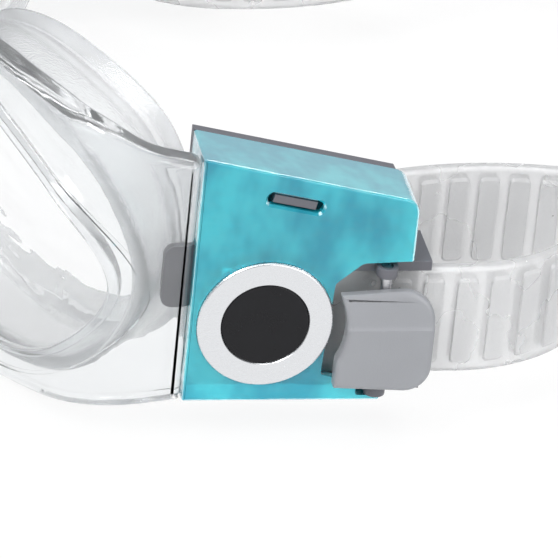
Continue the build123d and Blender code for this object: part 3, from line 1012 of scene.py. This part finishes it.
def rib_nodes():
    """The node tree that sets ribs along a line, on both faces of the strap."""
    tree = bpy.data.node_groups.new("Strap ribs", "GeometryNodeTree")
    sockets = {}
    tree.interface.new_socket("Line", in_out="INPUT", socket_type="NodeSocketGeometry")
    for name in ("Pitch", "Rib width", "Rib length", "Rib height", "Face distance"):
        sockets[name] = tree.interface.new_socket(name, in_out="INPUT", socket_type="NodeSocketFloat")
    sockets["Finish"] = tree.interface.new_socket("Finish", in_out="INPUT", socket_type="NodeSocketMaterial")
    tree.interface.new_socket("Ribs", in_out="OUTPUT", socket_type="NodeSocketGeometry")
    add, link = tree.nodes.new, tree.links.new
    given = add("NodeGroupInput")

    def joined(kind, links, settings=None, values=None):
        made = add(kind)
        for key, value in (settings or {}).items():
            setattr(made, key, value)
        for key, value in (values or {}).items():
            made.inputs[key].default_value = value
        for key, source in links.items():
            link(source, made.inputs[key])
        return made

    outline = joined(
        "GeometryNodeCurvePrimitiveQuadrilateral",
        {"Width": given.outputs["Rib length"], "Height": given.outputs["Rib width"]},
    )
    corners = joined(
        "GeometryNodeFilletCurve", {"Curve": outline.outputs[0]}, settings={"mode": "POLY"},
        values={"Radius": 0.0007, "Count": 4},
    )
    fill = joined("GeometryNodeFillCurve", {"Curve": corners.outputs[0]})
    raised = joined(
        "GeometryNodeExtrudeMesh",
        {"Mesh": fill.outputs[0], "Offset Scale": given.outputs["Rib height"]},
        values={"Individual": False},
    )
    narrowed = joined(
        "GeometryNodeScaleElements",
        {"Geometry": raised.outputs["Mesh"], "Selection": raised.outputs["Top"]},
        values={"Scale": 0.93},
    )
    spaced = joined(
        "GeometryNodeResampleCurve",
        {"Curve": given.outputs["Line"], "Length": given.outputs["Pitch"]},
        settings={"mode": "LENGTH"},
    )
    tangent = add("GeometryNodeInputTangent")
    upright = joined(
        "FunctionNodeAlignRotationToVector", {}, settings={"axis": "X"}, values={"Vector": (0, 0, 1)}
    )
    along = joined(
        "FunctionNodeAlignRotationToVector",
        {"Rotation": upright.outputs[0], "Vector": tangent.outputs[0]},
        settings={"axis": "Y", "pivot_axis": "X"},
    )
    both = add("GeometryNodeJoinGeometry")
    for turn in (0.0, HALF_TURN):
        turned = joined(
            "FunctionNodeRotateRotation",
            {"Rotation": along.outputs[0]},
            settings={"rotation_space": "LOCAL"},
            values={"Rotate By": (turn, 0.0, 0.0)},
        )
        set_ribs = joined(
            "GeometryNodeInstanceOnPoints",
            {"Points": spaced.outputs[0], "Instance": narrowed.outputs[0], "Rotation": turned.outputs[0]},
        )
        lift = joined("ShaderNodeCombineXYZ", {"Z": given.outputs["Face distance"]})
        lifted = joined(
            "GeometryNodeTranslateInstances",
            {"Instances": set_ribs.outputs[0], "Translation": lift.outputs[0]},
        )
        link(lifted.outputs[0], both.inputs[0])
    real = joined("GeometryNodeRealizeInstances", {"Geometry": both.outputs[0]})
    painted = joined(
        "GeometryNodeSetMaterial", {"Geometry": real.outputs[0], "Material": given.outputs["Finish"]}
    )
    link(painted.outputs[0], add("NodeGroupOutput").inputs[0])
    return tree, {name: socket.identifier for name, socket in sockets.items()}


def ribs_along(name, points, values, tree, identifiers):
    """A plain mesh of ribs along a line."""
    curve = bpy.data.curves.new(name, "CURVE")
    curve.dimensions = "3D"
    line = curve.splines.new("POLY")
    line.points.add(len(points) - 1)
    for knot, p in zip(line.points, points):
        knot.co = (*p, 1)
    holder = bpy.data.objects.new(name, curve)
    bpy.context.scene.collection.objects.link(holder)
    change = holder.modifiers.new("Ribs", "NODES")
    change.node_group = tree
    for key, value in values.items():
        change[identifiers[key]] = value
    graph = bpy.context.evaluated_depsgraph_get()
    mesh = bpy.data.meshes.new_from_object(holder.evaluated_get(graph), depsgraph=graph)
    bpy.data.objects.remove(holder)
    bm = bmesh.new()
    bm.from_mesh(mesh)
    bpy.data.meshes.remove(mesh)
    return bm


class GOGGLES_OT_strap(bpy.types.Operator):
    """Builds the silicone head strap with its ribs, curled tails and split headband"""

    bl_idname = "goggles.strap"
    bl_label = "Head strap"

    def execute(self, context):
        sizes = context.scene.goggles_strap
        look = finishes()
        right_points = strap_route(CURVE_RIGHT, RISE_RIGHT)
        short = right_points[-1].y - strap_route(CURVE_LEFT, RISE_RIGHT)[-1].y
        left_points = strap_route(CURVE_LEFT, RISE_RIGHT + short / BACK_GROWTH)
        paths = {"right": Path(right_points), "left": Path(left_points)}
        half = sizes.width / 2

        def run_at(side, y):
            path = paths[side]
            return next(r for r, p in zip(path.run, path.points) if p.y > y and r > PAST_TAIL)

        flares = {side: (run_at(side, FLARE_START_Y), run_at(side, FLARE_END_Y)) for side in paths}
        ends = {"left": 0.0, "right": paths["left"].length + paths["right"].length}
        middle = paths["left"].length

        def along(side, run):
            """A run from one side's tail, as a run along the whole strap."""
            return run if side == "left" else ends["right"] - run

        def lower_edge(side):
            start, end = flares[side]
            return [(0.0, -half, 4.0), (start - 6, -half, 6.0), (end + 4, -STRAP_HEIGHT, 6.0)]

        below = [(along("left", r), z, c) for r, z, c in lower_edge("left")]
        below += [(along("right", r), z, c) for r, z, c in reversed(lower_edge("right"))]
        above = [(r, -z, c) for r, z, c in reversed(below)]
        face = sizes.thickness / 2
        band = slab(rounded(below + above), round_levels(-face, face, 0.6, 0.6, 3))
        gap = SPLIT_GAP / 2
        split = [along(side, flares[side][1] + 6.0) for side in ("left", "right")]
        slot_line = rounded(
            [(split[near], up, SPLIT_ROUND) for near, up in ((0, -gap), (1, -gap), (1, gap), (0, gap))]
        )
        slot_levels = [(-2.0, 0.6), (-sizes.thickness / 2, 0.5), (-0.4, 0.0), (0.4, 0.0)]
        slot_levels += [(sizes.thickness / 2, 0.5), (2.0, 0.6)]
        band = combined(band, [slab(slot_line, slot_levels)], "DIFFERENCE")
        sliced(band, steps_between(0, ends["right"], 1.0)[1:-1] + [middle])

        def bent(run, up, out):
            side = 1 if run <= middle else -1
            path = paths["left"] if side == 1 else paths["right"]
            point, heading = path.at(run if side == 1 else ends["right"] - run)
            normal = Vector((heading.y, -heading.x))
            x, y = point + normal * out
            return spot(side * x, y, STRAP_HEIGHT + up)

        moved_by(band, bent)
        piece("strap", band, look["strap"], "clear_strap", "goggles", ["head_strap"], sharp=50)

        tree, identifiers = rib_nodes()
        values = {
            "Pitch": sizes.pitch * MM,
            "Rib width": sizes.rib * MM,
            "Rib length": (sizes.width - 2 * sizes.border) * MM,
            "Rib height": sizes.rib_height * MM,
            "Face distance": (sizes.thickness / 2 - 0.02) * MM,
            "Finish": look["strap"],
        }
        curl_length = radians(TAIL_CURL) * TAIL_RADIUS
        outer_end = curl_length + 8.5
        inner_start = curl_length + TAIL_STRAIGHT + WRAP_RADIUS * radians(WRAP_TURN) + 5
        for side, mirror in SIDES:
            for name, low, high in (("tail", 5.0, outer_end), ("run", inner_start, flares[side][0] - 8)):
                line = [paths[side].at(r)[0] for r in steps_between(low, high, 0.5)]
                points = [spot(mirror * p.x, p.y, STRAP_HEIGHT) for p in line]
                ribs = ribs_along("rib_line", points, values, tree, identifiers)
                piece(f"{name}_ribs_{side}", ribs, look["strap"], "clear_strap", "goggles", [], sharp=30)
        return {"FINISHED"}


# ---------------------------------------------------------------- stage
VIEW_RIGHT = Vector((0.2588, 0.9659, 0.0))
VIEW_BACK = Vector((0.8489, -0.2275, 0.4772))
VIEW_TARGET = (68.0, 12.04, 25.0)
VIEW_WIDTH = 76.1
VIEW_DISTANCE = 1000.0
VIEW_ROLL = radians(6.0)


def pale_surface(name, shade_of, lit_share):
    """A stage material that shows its own pale colour to the eye and keeps shadows faintly."""
    finish = Finish(name)
    path = finish.tree.nodes.new("ShaderNodeLightPath")
    seen = Value(finish, path.outputs["Is Camera Ray"])
    for ray in ("Is Glossy Ray", "Is Transmission Ray"):
        seen = seen + Value(finish, path.outputs[ray])
    share = finish.clamp_range(seen, 0.0, 1.0, 0.0, lit_share)
    matt = finish.node("ShaderNodeBsdfDiffuse", None, {"Color": colour(*shade_of)})
    glow = finish.node("ShaderNodeEmission", None, {"Color": colour(1, 1, 1), "Strength": 1.0})
    both = finish.node("ShaderNodeMixShader", None, {0: share, 1: matt, 2: glow})
    out = finish.tree.nodes.new("ShaderNodeOutputMaterial")
    finish.tree.links.new(both.socket, out.inputs["Surface"])
    return finish.material


def lamp(name, place, target, breadth, power):
    """A soft square lamp aimed at a point."""
    light = bpy.data.lights.new(name, "AREA")
    light.size, light.energy = breadth, power
    thing = bpy.data.objects.new(name, light)
    thing.location = place
    thing.rotation_euler = (Vector(target) - Vector(place)).to_track_quat("-Z", "Y").to_euler()
    bpy.context.scene.collection.objects.link(thing)


class GOGGLES_OT_stage(bpy.types.Operator):
    """Sets the floor, lamps and camera"""

    bl_idname = "goggles.stage"
    bl_label = "Stage"

    def execute(self, context):
        scene = context.scene
        bm = bmesh.new()
        bmesh.ops.create_grid(bm, x_segments=1, y_segments=1, size=6.0)
        mesh = bpy.data.meshes.new("floor")
        bm.to_mesh(mesh)
        bm.free()
        mesh.materials.append(pale_surface("Pale floor", (0.86, 0.86, 0.86), 0.9))
        floor = bpy.data.objects.new("floor", mesh)
        floor.location.z = -0.0002
        scene.collection.objects.link(floor)

        world = bpy.data.worlds.new("Studio")
        scene.world = world
        world.use_nodes = True
        nodes, links = world.node_tree.nodes, world.node_tree.links
        nodes.clear()
        path = nodes.new("ShaderNodeLightPath")
        dim, bright = nodes.new("ShaderNodeBackground"), nodes.new("ShaderNodeBackground")
        dim.inputs["Color"].default_value = colour(0.9, 0.93, 0.96)
        dim.inputs["Strength"].default_value = 0.45
        bright.inputs["Strength"].default_value = 1.0
        bright.inputs["Color"].default_value = colour(1, 1, 1)
        seen = nodes.new("ShaderNodeMath")
        seen.operation = "MAXIMUM"
        links.new(path.outputs["Is Camera Ray"], seen.inputs[0])
        links.new(path.outputs["Is Transmission Ray"], seen.inputs[1])
        mix, out = nodes.new("ShaderNodeMixShader"), nodes.new("ShaderNodeOutputWorld")
        links.new(seen.outputs[0], mix.inputs[0])
        links.new(dim.outputs[0], mix.inputs[1])
        links.new(bright.outputs[0], mix.inputs[2])
        links.new(mix.outputs[0], out.inputs["Surface"])

        middle = spot(40, 10, 24)
        lamp("Key", (0.45, -0.5, 0.75), middle, 0.45, 7.0)
        lamp("Fill", (0.75, 0.45, 0.35), middle, 0.5, 3.2)
        lamp("Top", (-0.1, 0.1, 0.9), middle, 0.6, 5.0)

        camera = bpy.data.cameras.new("Camera")
        camera.sensor_width = 36.0
        camera.lens = 36.0 * VIEW_DISTANCE / VIEW_WIDTH
        camera.clip_start, camera.clip_end = 0.05, 20.0
        eye = bpy.data.objects.new("Camera", camera)
        scene.collection.objects.link(eye)
        up = VIEW_BACK.cross(VIEW_RIGHT)
        right = VIEW_RIGHT * cos(VIEW_ROLL) + up * sin(VIEW_ROLL)
        up = up * cos(VIEW_ROLL) - VIEW_RIGHT * sin(VIEW_ROLL)
        turn = Matrix((right, up, VIEW_BACK)).transposed().to_4x4()
        target = spot(*VIEW_TARGET)
        eye.matrix_world = Matrix.Translation(target + VIEW_BACK * VIEW_DISTANCE * MM) @ turn
        scene.camera = eye
        scene.view_settings.view_transform = "Standard"
        return {"FINISHED"}


# ---------------------------------------------------------------- add-on
class GOGGLES_PT_panel(bpy.types.Panel):
    """Lists the goggles' settings and the steps that build them"""

    bl_idname = "GOGGLES_PT_panel"
    bl_label = "Swim goggles"
    bl_space_type = "VIEW_3D"
    bl_region_type = "UI"
    bl_category = "Goggles"

    def draw(self, context):
        column = self.layout.column()
        for group in GROUPS:
            settings = getattr(context.scene, group)
            for key in settings.__annotations__:
                column.prop(settings, key)
        for step in STEPS:
            column.operator(step.bl_idname)


GROUPS = {
    "goggles_front": GogglesFront,
    "goggles_buckle": GogglesBuckle,
    "goggles_strap": GogglesStrap,
    "goggles_finish": GogglesFinish,
}
STEPS = (
    GOGGLES_OT_front,
    GOGGLES_OT_lenses,
    GOGGLES_OT_skirts,
    GOGGLES_OT_covers,
    GOGGLES_OT_bases,
    GOGGLES_OT_badges,
    GOGGLES_OT_buttons,
    GOGGLES_OT_steel,
    GOGGLES_OT_strap,
    GOGGLES_OT_stage,
)


def register():
    """Registers the settings, the steps and the panel."""
    for made in (*GROUPS.values(), *STEPS, GOGGLES_PT_panel):
        bpy.utils.register_class(made)
    for name, group in GROUPS.items():
        setattr(bpy.types.Scene, name, bpy.props.PointerProperty(type=group))


def unregister():
    """Takes them away again."""
    for name in GROUPS:
        delattr(bpy.types.Scene, name)
    for made in (GOGGLES_PT_panel, *reversed(STEPS), *reversed(GROUPS.values())):
        bpy.utils.unregister_class(made)


def main():
    """Builds everything."""
    register()
    for step in STEPS:
        group, name = step.bl_idname.split(".")
        getattr(getattr(bpy.ops, group), name)()


if __name__ == "__main__":
    main()
